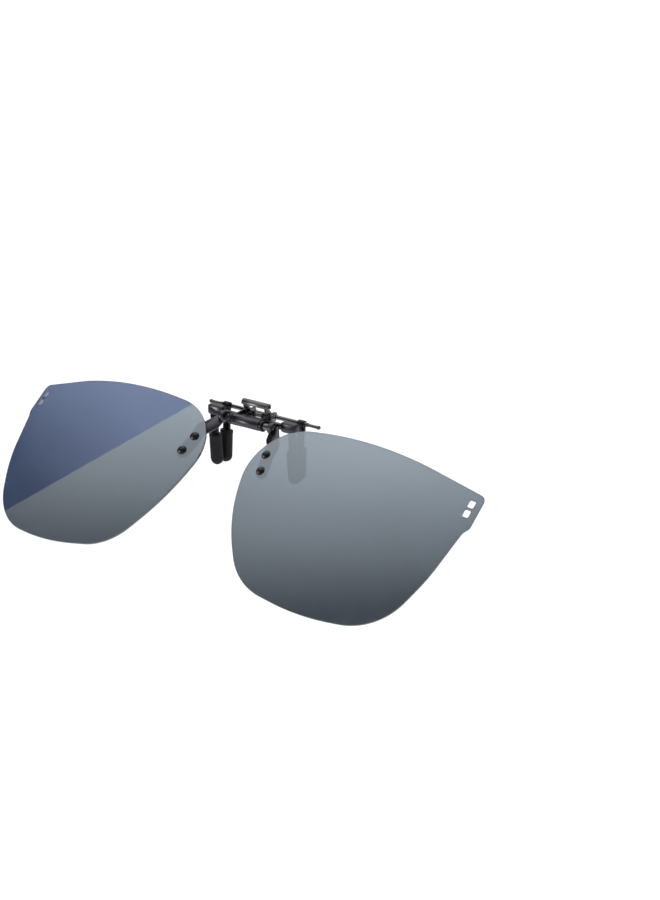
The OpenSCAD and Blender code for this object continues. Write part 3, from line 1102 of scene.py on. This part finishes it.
    def build_rivets(self) -> None:
        """Makes the domed rivets with their washers and swaged collars."""
        profile = self.rivet_profile()
        washer_to = self.washer_from + self.washer_thick
        collar_from = washer_to + self.pad_thick
        washer = tube(self.washer_from, washer_to, self.head_radius + 0.1, self.hole_radius, 0.05)
        collar = tube(collar_from, collar_from + self.collar_thick, self.head_radius, self.shank_radius, 0.15)
        kinds = (
            ("rivets", "domed_rivets", profile, False, self.finishes.gloss_black, "black_rivet"),
            ("rivet_washers", "nylon_washers", washer, True, self.finishes.nylon, "clear_nylon"),
            ("rivet_collars", "swaged_collars", collar, True, self.finishes.black_steel, "dark_steel"),
        )
        for node, name, shape, closed, finish, slot in kinds:
            both = Draft()
            for place in self.rivet_frames():
                both = both.joined(Draft().lathe(shape, axis=Axis.Y, closed=closed).placed(place))
            suffix = self.side.suffix
            both.piece(f"{name}_{suffix}", finish, Body.FLIP, slot, [f"{node}_{suffix}"])

    def build_bracket(self) -> None:
        """Makes the stamped arm: an eye on the rod, a curved neck and a pad behind the lens."""
        start, thick, edge = self.washer_from + self.washer_thick, self.pad_thick, self.stamped_edge
        neck = Draft().plate(rounded(self.bracket_corners, 0.3), start, thick, edge, Axis.Y)
        long_pad = [(z, x) for x, z in stadium(self.rivet_pitch + self.pad_width, self.pad_width)]
        lean = Matrix.Rotation(math.radians(-self.rivet_lean), 4, "Y")
        pad = Draft().plate(long_pad, start, thick, edge, Axis.Y).placed(lean)
        arm = neck.joined(pad).placed(self.pad)
        eye_from, eye_to, outer = self.eye
        eye = Draft().lathe(tube(eye_from, eye_to, outer, self.rod_radius, self.eye_edge), closed=True)
        whole = arm.joined(eye.placed(self.flip.axis_frame(self.side)))
        suffix = self.side.suffix
        whole.piece(
            f"stamped_bracket_{suffix}", self.finishes.gunmetal, Body.FLIP, "gunmetal",
            [f"lens_bracket_{suffix}"],
        )

    def build(self) -> bpy.types.Object:
        """Makes every piece of the unit.

        Returns:
            The lens.
        """
        self.build_rivets()
        self.build_bracket()
        return self.build_lens()


@dataclass
class HingeRodSet:
    """The flip rod, and the dark rings against the ends of the barrel as (start, end, radius)."""

    flip: FlipFrame
    finishes: Finishes
    radius: float = 0.85
    half: float = 8.5
    ring: tuple[float, float, float] = (4.2, 5.3, 1.42)
    rod_edge: float = 0.16
    ring_edge: float = 0.08

    def build(self) -> None:
        """Makes the rod and both rings."""
        at = (self.flip.y, self.flip.z)
        Draft().lathe(turned(-self.half, self.half, self.radius, self.rod_edge), at).piece(
            "flip_rod", self.finishes.dark_wire, Body.FLIP, "spring_steel", ["hinge_rod"]
        )
        start, end, outer = self.ring
        profile = tube(start, end, outer, self.radius, self.ring_edge)
        for side in Side:
            ring = Draft().lathe(profile, at, closed=True).placed(side.mirrored())
            ring.piece(
                f"snap_ring_{side.suffix}", self.finishes.black_steel, Body.FLIP, "dark_steel",
                [f"rod_ring_{side.suffix}"],
            )


# ---------------------------------------------------------------- clamp


@dataclass
class Jaw:
    """A rubber-sleeved prong of one jaw, which leans from its head in towards the bridge.

    The head is (y, z) and the prong is (width, thickness).
    """

    x: float
    head: tuple[float, float]
    tip_y: float = 1.4
    tip_z: float = -3.4
    sleeve_width: float = 3.6
    sleeve_depth: float = 2.5
    sleeve_height: float = 8.6
    sleeve_bottom: float = -4.6
    foot_steps: int = 12
    prong: tuple[float, float] = (2.0, 0.8)
    prong_edge: float = 0.08

    def __post_init__(self) -> None:
        """Works out the lean and the length, from the head down to the tip."""
        inward, drop = abs(self.head[0]) - self.tip_y, self.head[1] - self.tip_z
        angle = math.atan(inward / drop)
        self.lean = -math.copysign(math.degrees(angle), self.head[0])
        self.length = drop / math.cos(angle)

    def place(self, side: Side) -> Matrix:
        """Frame at the prong's head, with the prong hanging along -Z."""
        to_head = Matrix.Translation((self.x, *self.head))
        return side.mirrored() @ to_head @ Matrix.Rotation(math.radians(self.lean), 4, "X")

    def strip(self) -> Draft:
        """The flat prong.

        Returns:
            The draft, in the prong's frame.
        """
        w, t = self.prong
        top = [(-w / 2, 0, 0.15), (w / 2, 0, 0.15)]
        foot = [(w / 2, -self.length, 0.3), (-w / 2, -self.length, 0.3)]
        return Draft().plate(rounded(top + foot, 0.1), -t / 2, t, self.prong_edge, Axis.Y)

    def sleeve(self) -> Draft:
        """The rubber sleeve: a soft stadium tube, round at its foot, with a rolled top rim.

        Returns:
            The draft, in the prong's frame.
        """
        bottom = -(self.head[1] - self.sleeve_bottom) / math.cos(math.radians(self.lean))
        top = bottom + self.sleeve_height
        w, d = self.sleeve_width, self.sleeve_depth
        foot = w / 2
        stations = []
        for k in range(1, self.foot_steps + 1):
            a = math.radians(90 * k / self.foot_steps)
            stations.append((bottom + foot * (1 - math.cos(a)), math.sin(a), math.sin(a) ** 0.6))
        stations.append((bottom + self.sleeve_height * 0.6, 0.985, 0.985))
        rolled_rim = ((-0.9, 0.97, 0.97), (-0.75, 1, 1), (-0.2, 1, 1), (-0.05, 0.97, 0.96), (0, 0.9, 0.88))
        stations += [(top + below, wide, deep) for below, wide, deep in rolled_rim]
        base = stadium(1, d / w, 12)
        rings = [[Vector((p * w * wide, q * w * deep, z)) for p, q in base] for z, wide, deep in stations]
        return Draft().loft(rings)


FRONT_JAW = Jaw(x=12.35, head=(-2.4, 9.4))
REAR_JAW = Jaw(x=11.7, head=(2.4, 10.5))


@dataclass
class TorsionSpring:
    """A coil round the pin with two straight legs that reach forward."""

    pin: tuple[float, float]
    wire: float = 0.2
    coil: float = 0.9
    first: float = 1.05
    pitch: float = 0.43
    turns: float = 3.5
    start: float = 250.0
    steps_per_turn: int = 30
    inner_leg: tuple[float, float, float] = (-0.05, -1.35, 0.45)
    outer_leg: tuple[float, float, float] = (0.05, -1.2, 1.0)

    def coil_point(self, turned_by: float) -> Vector:
        """Point of the coil's centre line.

        Args:
            turned_by: Angle from the start of the coil, in degrees.

        Returns:
            The point.
        """
        y, z = self.pin
        x = self.first + self.wire + self.pitch * turned_by / 360
        t = math.radians(self.start + turned_by)
        return Vector((x, y + self.coil * math.cos(t), z + self.coil * math.sin(t)))

    def draft(self) -> Draft:
        """The whole spring.

        Returns:
            The draft of the left one.
        """
        steps = int(self.turns * self.steps_per_turn)
        path = [self.coil_point(360 * self.turns * i / steps) for i in range(steps + 1)]
        path.insert(0, path[0] + Vector(self.inner_leg))
        path.append(path[-1] + Vector(self.outer_leg))
        return Draft().wire(path, self.wire)


@dataclass
class FrontClamp:
    """The fixed half of the clamp: hinge bracket, leaf, front jaw, pin and springs.

    The pin's place is (y, z), a cheek is (start, thickness) along the pin, and a block is
    (width, depth).
    """

    flip: FlipFrame
    finishes: Finishes
    pin: tuple[float, float]
    jaw: Jaw
    barrel_half: float = 4.15
    barrel_radius: float = 1.45
    barrel_edge: float = 0.12
    rod_bore: float = 0.88
    cheek: tuple[float, float] = (3.65, 0.5)
    cheek_edge: float = 0.08
    cheek_tilt: float = 2.0
    cheek_steps: int = 14
    boss: float = 1.15
    pin_radius: float = 0.55
    pin_half: float = 4.6
    pin_head: float = 0.95
    pin_edge: float = 0.12
    bar_thick: float = 0.9
    bar_corner: float = 0.2
    bar_edge: float = 0.1
    bar_z: tuple[float, float] = (9.8, 11.3)
    bar_half: float = 11.0
    half: float = 13.8
    block: tuple[float, float] = (4.7, 1.8)
    block_corner: float = 0.7
    block_edge: float = 0.3
    block_z: tuple[float, float] = (9.4, 12.1)

    def cheek_outline(self) -> Outline:
        """Outline of a cheek: a boss round the pin, and the barrel's own round in front.

        Returns:
            Points as (y, z).
        """
        barrel, tilt, steps = (self.flip.y, self.flip.z), self.cheek_tilt, self.cheek_steps
        front = arc_points(barrel, self.barrel_radius, 90 + tilt, 270 - tilt, steps)
        back = arc_points(self.pin, self.boss, tilt - 90, 90 - tilt, steps)
        return front + back

    def build_bracket(self) -> None:
        """Makes the rolled barrel and its cheeks."""
        at = (self.flip.y, self.flip.z)
        half, edge = self.barrel_half, self.barrel_edge
        barrel = tube(-half, half, self.barrel_radius, self.rod_bore, edge)
        whole = Draft().lathe(barrel, at, closed=True, segments=48)
        start, thick = self.cheek
        for side in Side:
            plate = Draft().plate(self.cheek_outline(), start, thick, self.cheek_edge, Axis.X)
            whole = whole.joined(plate.placed(side.mirrored()))
        whole.piece("rolled_hinge_bracket", self.finishes.gunmetal, Body.FRONT, "gunmetal", ["hinge_bracket"])

    def build_bar(self) -> None:
        """Makes the front bar and its crimped end blocks."""
        middle = self.jaw.head[0]
        bar = rounded(box_corners(-self.bar_half, self.bar_half, *self.bar_z, self.bar_corner), 0.1)
        bar_from = middle - self.bar_thick / 2
        Draft().plate(bar, bar_from, self.bar_thick, self.bar_edge, Axis.Y).piece(
            "front_bar", self.finishes.gunmetal, Body.FRONT, "gunmetal", ["front_jaw_bar"]
        )
        width, depth = self.block
        end = rounded(box_corners(self.half - width, self.half, *self.block_z, self.block_corner), 0.15)
        for side in Side:
            block = Draft().plate(end, middle - depth / 2, depth, self.block_edge, Axis.Y)
            block.placed(side.mirrored()).piece(
                f"crimped_block_{side.suffix}", self.finishes.gunmetal, Body.FRONT, "gunmetal",
                [f"front_block_{side.suffix}"],
            )

    def build_jaw(self) -> None:
        """Makes the front prongs and sleeves."""
        for side in Side:
            place, suffix = self.jaw.place(side), side.suffix
            self.jaw.strip().placed(place).piece(
                f"front_flat_prong_{suffix}", self.finishes.black_steel, Body.FRONT, "dark_steel",
                [f"front_prong_{suffix}"],
            )
            self.jaw.sleeve().placed(place).piece(
                f"front_rubber_{suffix}", self.finishes.rubber, Body.FRONT, "black_rubber",
                [f"front_sleeve_{suffix}"],
            )

    def build_pin(self) -> None:
        """Makes the pivot pin with a head at each end."""
        head_from = self.cheek[0] + self.cheek[1]
        h, r, b = self.pin_head, self.pin_radius, self.pin_edge
        profile = [
            (-self.pin_half, h - b), (-self.pin_half + b, h), (-head_from, h), (-head_from, r),
            (head_from, r), (head_from, h), (self.pin_half - b, h), (self.pin_half, h - b),
        ]
        Draft().lathe(profile, self.pin).piece(
            "pivot_pin", self.finishes.dark_wire, Body.FRONT, "spring_steel", ["clamp_pin"]
        )

    def build_springs(self) -> None:
        """Makes the two torsion springs, wound outward round the pin."""
        spring = TorsionSpring(self.pin).draft()
        for side in Side:
            spring.placed(side.mirrored()).piece(
                f"coil_spring_{side.suffix}", self.finishes.dark_wire, Body.FRONT, "spring_steel",
                [f"torsion_spring_{side.suffix}"],
            )

    def dress_leaf(self) -> None:
        """Gives the friction leaf, which keeps its own shape, the finish of the wire."""
        for material_slot in frame["nodes"]["friction_leaf"].material_slots:
            material_slot.material = self.finishes.dark_wire
        LOG.info("friction_leaf: dressed, rides on %s", Body.FRONT.value)

    def build(self) -> None:
        """Makes every piece of the front half."""
        self.build_bracket()
        self.build_bar()
        self.build_jaw()
        self.build_pin()
        self.build_springs()
        self.dress_leaf()


@dataclass
class RearLever:
    """The moving half of the clamp: thumb lever, rear rod, prongs and sleeves.

    An ear is (start, thickness) along the pin. A tip of the rod is (length, radius of its neck,
    radius of its ball). The rolled tab's centre is (y, z) from the pin.
    """

    finishes: Finishes
    pin: tuple[float, float]
    jaw: Jaw
    rod_radius: float = 0.55
    rod_half: float = 17.4
    rod_edge: float = 0.12
    tip: tuple[float, float, float] = (3.6, 0.42, 0.55)
    tab_half: float = 4.0
    tab_centre: tuple[float, float] = (-1.0, 3.05)
    tab_radius: float = 1.0
    tab_thick: float = 0.35
    tab_from: float = -28.0
    tab_to: float = 188.0
    tab_steps: int = 30
    tab_edge: float = 0.06
    lip_steps: int = 6
    ear: tuple[float, float] = (3.05, 0.5)
    ear_edge: float = 0.08
    prong_eye: float = 0.9
    eye_edge: float = 0.12

    def lip(self, centre: tuple[float, float], angle: float, first: float) -> Outline:
        """Half round that ends the rolled tab, between its two faces.

        Args:
            centre: Centre of the roll, as (y, z).
            angle: Angle of the tab's end round the roll, in degrees.
            first: Angle that the half round starts from.

        Returns:
            Points as (y, z), without the first and the last, which the faces have.
        """
        a, middle = math.radians(angle), self.tab_radius - self.tab_thick / 2
        at = (centre[0] + middle * math.cos(a), centre[1] + middle * math.sin(a))
        return arc_points(at, self.tab_thick / 2, first, first + 180, self.lip_steps)[1:-1]

    def tab_outline(self) -> Outline:
        """Outline of the rolled thumb tab, with its lips rounded.

        Returns:
            Points as (y, z).
        """
        centre = (self.pin[0] + self.tab_centre[0], self.pin[1] + self.tab_centre[1])
        start, end, steps = self.tab_from, self.tab_to, self.tab_steps
        outer_face = arc_points(centre, self.tab_radius, start, end, steps)
        inner_face = arc_points(centre, self.tab_radius - self.tab_thick, end, start, steps)
        far_lip, near_lip = self.lip(centre, end, end), self.lip(centre, start, start + 180)
        return outer_face + far_lip + inner_face + near_lip

    def ear_outline(self) -> Outline:
        """Outline of an ear, drawn from the pin: past it to the lug on the rod, then up to the tab.

        Returns:
            Points as (y, z).
        """
        y, z = self.pin
        under_pin = [(-1.15, -1.15, 0.9), (1.1, -1.25, 0.6)]
        lug = [(2.3, -1.85, 0.9), (3.7, -0.8, 1.0), (2.9, 0.7, 0.8)]
        stem_back = [(1.0, 0.9, 0.5), (-0.1, 2.3, 0.4)]
        tab_end = [(-0.15, 3.9, 0.75), (-1.85, 3.9, 0.75)]
        stem_front = [(-1.85, 2.4, 0.7), (-1.1, 0.9, 0.6)]
        corners = under_pin + lug + stem_back + tab_end + stem_front
        return rounded([(y + a, z + b, r) for a, b, r in corners], 0.2)

    def build_lever(self) -> None:
        """Makes the rolled thumb tab on its two ears."""
        width = 2 * self.tab_half
        whole = Draft().plate(self.tab_outline(), -self.tab_half, width, self.tab_edge, Axis.X)
        start, thick = self.ear
        for side in Side:
            plate = Draft().plate(self.ear_outline(), start, thick, self.ear_edge, Axis.X)
            whole = whole.joined(plate.placed(side.mirrored()))
        whole.piece("rolled_thumb_lever", self.finishes.brushed, Body.REAR, "gunmetal", ["thumb_lever"])

    def build_rod(self) -> None:
        """Makes the rear rod with its slim ball tips."""
        length, slim, ball = self.tip
        shoulder, radius, edge = self.rod_half - length, self.rod_radius, self.rod_edge
        half = [(shoulder - edge, radius), (shoulder, radius - edge), (shoulder, slim)]
        centre = self.rod_half - ball
        neck, steps = math.pi - math.asin(slim / ball), 8
        for k in range(steps + 1):
            a = neck - neck * k / steps
            half.append((centre + ball * math.cos(a), max(POLE, ball * math.sin(a))))
        profile = [(-x, r) for x, r in reversed(half)] + half
        Draft().lathe(profile, self.jaw.head).piece(
            "rear_rod", self.finishes.dark_wire, Body.REAR, "dark_steel", ["rear_jaw_rod"]
        )

    def build_jaw(self) -> None:
        """Makes the rear prongs, each with an eye on the rod, and their sleeves."""
        x, half = self.jaw.x, self.jaw.prong[0] / 2
        profile = tube(x - half, x + half, self.prong_eye, self.rod_radius, self.eye_edge)
        eye = Draft().lathe(profile, self.jaw.head, closed=True)
        for side in Side:
            place, suffix = self.jaw.place(side), side.suffix
            prong = self.jaw.strip().placed(place).joined(eye.placed(side.mirrored()))
            prong.piece(
                f"rear_flat_prong_{suffix}", self.finishes.black_steel, Body.REAR, "dark_steel",
                [f"rear_prong_{suffix}"],
            )
            self.jaw.sleeve().placed(place).piece(
                f"rear_rubber_{suffix}", self.finishes.rubber, Body.REAR, "black_rubber",
                [f"rear_sleeve_{suffix}"],
            )

    def build(self) -> None:
        """Makes every piece of the rear half."""
        self.build_lever()
        self.build_rod()
        self.build_jaw()


# ---------------------------------------------------------------- studio


@dataclass(frozen=True)
class SoftBox:
    """A square light that faces the clamp, with its place and size in metres."""

    name: str
    at: tuple[float, float, float]
    size: float
    watts: float
    mirrored: bool

    def build(self) -> bpy.types.Object:
        """Makes the light, which is either only seen mirrored or not mirrored at all.

        Returns:
            The light.
        """
        data = bpy.data.lights.new(self.name, "AREA")
        data.size = self.size
        data.energy = self.watts
        light = bpy.data.objects.new(self.name, data)
        light.location = self.at
        light.rotation_mode = "QUATERNION"
        light.rotation_quaternion = (-Vector(self.at)).to_track_quat("-Z", "Y")
        light.visible_glossy = self.mirrored
        light.visible_diffuse = not self.mirrored
        bpy.context.scene.collection.objects.link(light)
        return light


KEY_BOX = SoftBox("key_box", at=(0.5, -0.2, 0.9), size=0.9, watts=2, mirrored=False)
GLINT_BOX = SoftBox("glint_box", at=(-0.75, -0.9, 0.06), size=0.35, watts=4, mirrored=True)


@dataclass
class Studio:
    """Pale floor, sky, soft boxes, the blue card and the camera.

    The camera sees the card's corners mirrored at the lens points card_edge. card_fade is the
    card's glow at the lens centre, then what it gains by the outer end and by the top.
    """

    azimuth: float = 35.1
    elevation: float = 21.34
    distance: float = 646.3
    aim: tuple[float, float, float] = (21.0, 1.45, 5.78)
    focal: float = 103.75
    nearest: float = 20.0
    floor_z: float = -110.0
    floor_half: float = 4000.0
    floor_tone: Colour = (0.95, 0.95, 0.95)
    floor_rough: float = 0.9
    floor_specular: float = 0.1
    bright_sky: tuple[float, float, float] = (-0.4, 0.3, 0.87)
    sky_band: tuple[float, float] = (0.42, 0.98)
    sky_power: float = 1.3
    sky_gain: float = 1.55
    sky_least: float = 0.2
    even_light: float = 1.12
    card_distance: float = 24.0
    card_dark: Colour = (0.024, 0.064, 0.225)
    card_pale: Colour = (0.51, 0.585, 0.985)
    card_strength: float = 1.25
    card_steps: int = 12
    card_fade: tuple[float, float, float] = (0.5, -0.545, 0.578)
    card_edge: tuple[tuple[float, float], ...] = ((-24.5, 27.5), (25.5, -21.5), (38, -6), (36, 30), (0, 34))
    glint: bpy.types.Object | None = field(default=None, init=False)
    card: bpy.types.Object | None = field(default=None, init=False)

    def build_camera(self) -> None:
        """Sets the camera."""
        data = bpy.data.cameras.new("studio_camera")
        data.lens = self.focal
        data.clip_start = self.nearest * MM
        camera = bpy.data.objects.new("studio_camera", data)
        camera.location = self.eye * MM
        camera.rotation_mode = "QUATERNION"
        camera.rotation_quaternion = (-self.back).to_track_quat("-Z", "Y")
        bpy.context.scene.collection.objects.link(camera)
        bpy.context.scene.camera = camera

    def build_floor(self) -> None:
        """Makes the pale floor."""
        h, z = self.floor_half * MM, self.floor_z * MM
        mesh = bpy.data.meshes.new("studio_floor")
        mesh.from_pydata([(-h, -h, z), (h, -h, z), (h, h, z), (-h, h, z)], [], [(0, 1, 2, 3)])
        material = bpy.data.materials.new("pale_floor")
        material.use_nodes = True
        shader = material.node_tree.nodes["Principled BSDF"]
        shader.inputs["Base Color"].default_value = (*self.floor_tone, 1)
        shader.inputs["Roughness"].default_value = self.floor_rough
        shader.inputs["Specular IOR Level"].default_value = self.floor_specular
        mesh.materials.append(material)
        floor = bpy.data.objects.new("studio_floor", mesh)
        bpy.context.scene.collection.objects.link(floor)

    @property
    def eye(self) -> Vector:
        """Where the camera stands."""
        return Vector(self.aim) + self.back * self.distance

    @property
    def back(self) -> Vector:
        """Direction from the aim to the camera."""
        a, e = math.radians(self.azimuth), math.radians(self.elevation)
        return Vector((math.sin(a) * math.cos(e), -math.cos(a) * math.cos(e), math.sin(e)))

    def mirrored_point(self, flip: FlipFrame, through: Vector) -> Vector:
        """Point that the camera sees mirrored in the right lens when it looks through a given point.

        Args:
            flip: The flip frame.
            through: Point on or near the lens.

        Returns:
            The point, one card distance from the lens.
        """
        centre = flip.lens_frame(Side.RIGHT) @ Vector((0, flip.curve, 0))
        ray = (through - self.eye).normalized()
        along = ray.dot(centre - self.eye)
        miss = (centre - self.eye).length_squared - along**2
        spot = self.eye + ray * (along - math.sqrt(max(0.0, flip.curve**2 - miss)))
        normal = (spot - centre).normalized()
        return spot + (ray - normal * 2 * ray.dot(normal)) * self.card_distance

    def build_card(self, flip: FlipFrame) -> bpy.types.Object:
        """Makes the blue card that only the right lens mirrors.

        Args:
            flip: The flip frame.

        Returns:
            The card.
        """
        place = flip.lens_frame(Side.RIGHT)
        even, outward, upward = self.card_fade
        half_w, half_h = flip.lens_width / 2, flip.lens_height / 2
        marks = [place @ flip.on_sphere(u, v, 0) for u, v in self.card_edge]
        glows = [even + outward * u / half_w + upward * v / half_h for u, v in self.card_edge]
        rim, glow = [], []
        for i, start in enumerate(marks):
            j = (i + 1) % len(marks)
            for k in range(self.card_steps):
                part = k / self.card_steps
                rim.append(self.mirrored_point(flip, start.lerp(marks[j], part)) * MM)
                glow.append(glows[i] * (1 - part) + glows[j] * part)
        count = len(rim)
        rim.append(sum(rim, Vector()) / count)
        glow.append(sum(glow) / count)
        mesh = bpy.data.meshes.new("blue_card")
        mesh.from_pydata(rim, [], [(k, (k + 1) % count, count) for k in range(count)])
        mesh.attributes.new("glow", "FLOAT", "POINT").data.foreach_set("value", glow)
        mesh.materials.append(self.glowing_paper())
        card = bpy.data.objects.new("blue_card", mesh)
        card.visible_camera = False
        card.visible_diffuse = False
        card.visible_shadow = False
        card.visible_transmission = False
        bpy.context.scene.collection.objects.link(card)
        return card

    def glowing_paper(self) -> bpy.types.Material:
        """Paper that glows from dark to pale blue by its points' own values.

        Returns:
            The material.
        """
        material = bpy.data.materials.new("blue_card")
        material.use_nodes = True
        nodes, links = material.node_tree.nodes, material.node_tree.links
        nodes.remove(nodes["Principled BSDF"])
        glow, light = nodes.new("ShaderNodeAttribute"), nodes.new("ShaderNodeEmission")
        glow.attribute_name = "glow"
        fade = nodes.new("ShaderNodeMix")
        fade.data_type = "RGBA"
        fade.inputs["A"].default_value = (*self.card_dark, 1)
        fade.inputs["B"].default_value = (*self.card_pale, 1)
        light.inputs["Strength"].default_value = self.card_strength
        links.new(glow.outputs["Fac"], fade.inputs["Factor"])
        links.new(fade.outputs["Result"], light.inputs["Color"])
        links.new(light.outputs["Emission"], nodes["Material Output"].inputs["Surface"])
        return material

    def build_world(self) -> None:
        """Makes the sky: even light all round, and a soft gradient where it is mirrored."""
        world = bpy.data.worlds.new("studio_sky")
        bpy.context.scene.world = world
        world.use_nodes = True
        nodes, links = world.node_tree.nodes, world.node_tree.links
        sky = nodes["Background"]
        place, ray = nodes.new("ShaderNodeTexCoord"), nodes.new("ShaderNodeLightPath")
        lobe = nodes.new("ShaderNodeVectorMath")
        lobe.operation = "DOT_PRODUCT"
        lobe.inputs[1].default_value = Vector(self.bright_sky).normalized()
        links.new(place.outputs["Generated"], lobe.inputs[0])
        fade = nodes.new("ShaderNodeMapRange")
        fade.inputs["From Min"].default_value, fade.inputs["From Max"].default_value = self.sky_band
        steep = nodes.new("ShaderNodeMath")
        steep.operation = "POWER"
        steep.inputs[1].default_value = self.sky_power
        gain = nodes.new("ShaderNodeMath")
        gain.operation = "MULTIPLY_ADD"
        gain.inputs[1].default_value = self.sky_gain
        gain.inputs[2].default_value = self.sky_least
        links.new(lobe.outputs["Value"], fade.inputs["Value"])
        mix = nodes.new("ShaderNodeMix")
        mix.data_type = "FLOAT"
        mix.inputs["A"].default_value = self.even_light
        links.new(ray.outputs["Is Glossy Ray"], mix.inputs["Factor"])
        links.new(fade.outputs["Result"], steep.inputs[0])
        links.new(steep.outputs["Value"], gain.inputs[0])
        links.new(gain.outputs["Value"], mix.inputs["B"])
        links.new(mix.outputs["Result"], sky.inputs["Strength"])
        sky.inputs["Color"].default_value = (1, 1, 1, 1)

    def build(self, flip: FlipFrame) -> None:
        """Makes the whole studio.

        Args:
            flip: The flip frame.
        """
        self.build_camera()
        self.build_floor()
        self.build_world()
        KEY_BOX.build()
        self.glint = GLINT_BOX.build()
        self.card = self.build_card(flip)
        bpy.context.scene.view_settings.view_transform = "Standard"

    def mirror_in(self, lenses: dict[Side, bpy.types.Object]) -> None:
        """Sets what the lenses mirror: the right one the card, and neither of them the glint box.

        Args:
            lenses: The two lenses.
        """
        shows_card = bpy.data.collections.new("mirrors_the_card")
        shows_card.objects.link(lenses[Side.RIGHT])
        self.card.light_linking.receiver_collection = shows_card
        hides_glint = bpy.data.collections.new("mirrors_no_glint")
        for lens in lenses.values():
            hides_glint.objects.link(lens)
        for entry in hides_glint.collection_objects:
            entry.light_linking.link_state = "EXCLUDE"
        self.glint.light_linking.receiver_collection = hides_glint


def main() -> None:
    """Builds the studio and every piece."""
    logging.basicConfig(level=logging.INFO, format="%(message)s")
    flip = FlipFrame()
    studio = Studio()
    studio.build(flip)
    finishes = Finishes()
    pin = joint_place("squeeze_hinge")
    studio.mirror_in({side: LensUnit(side, flip, finishes).build() for side in Side})
    HingeRodSet(flip, finishes).build()
    FrontClamp(flip, finishes, pin, FRONT_JAW).build()
    RearLever(finishes, pin, REAR_JAW).build()
    LOG.info("boxes written")


if __name__ == "__main__":
    main()
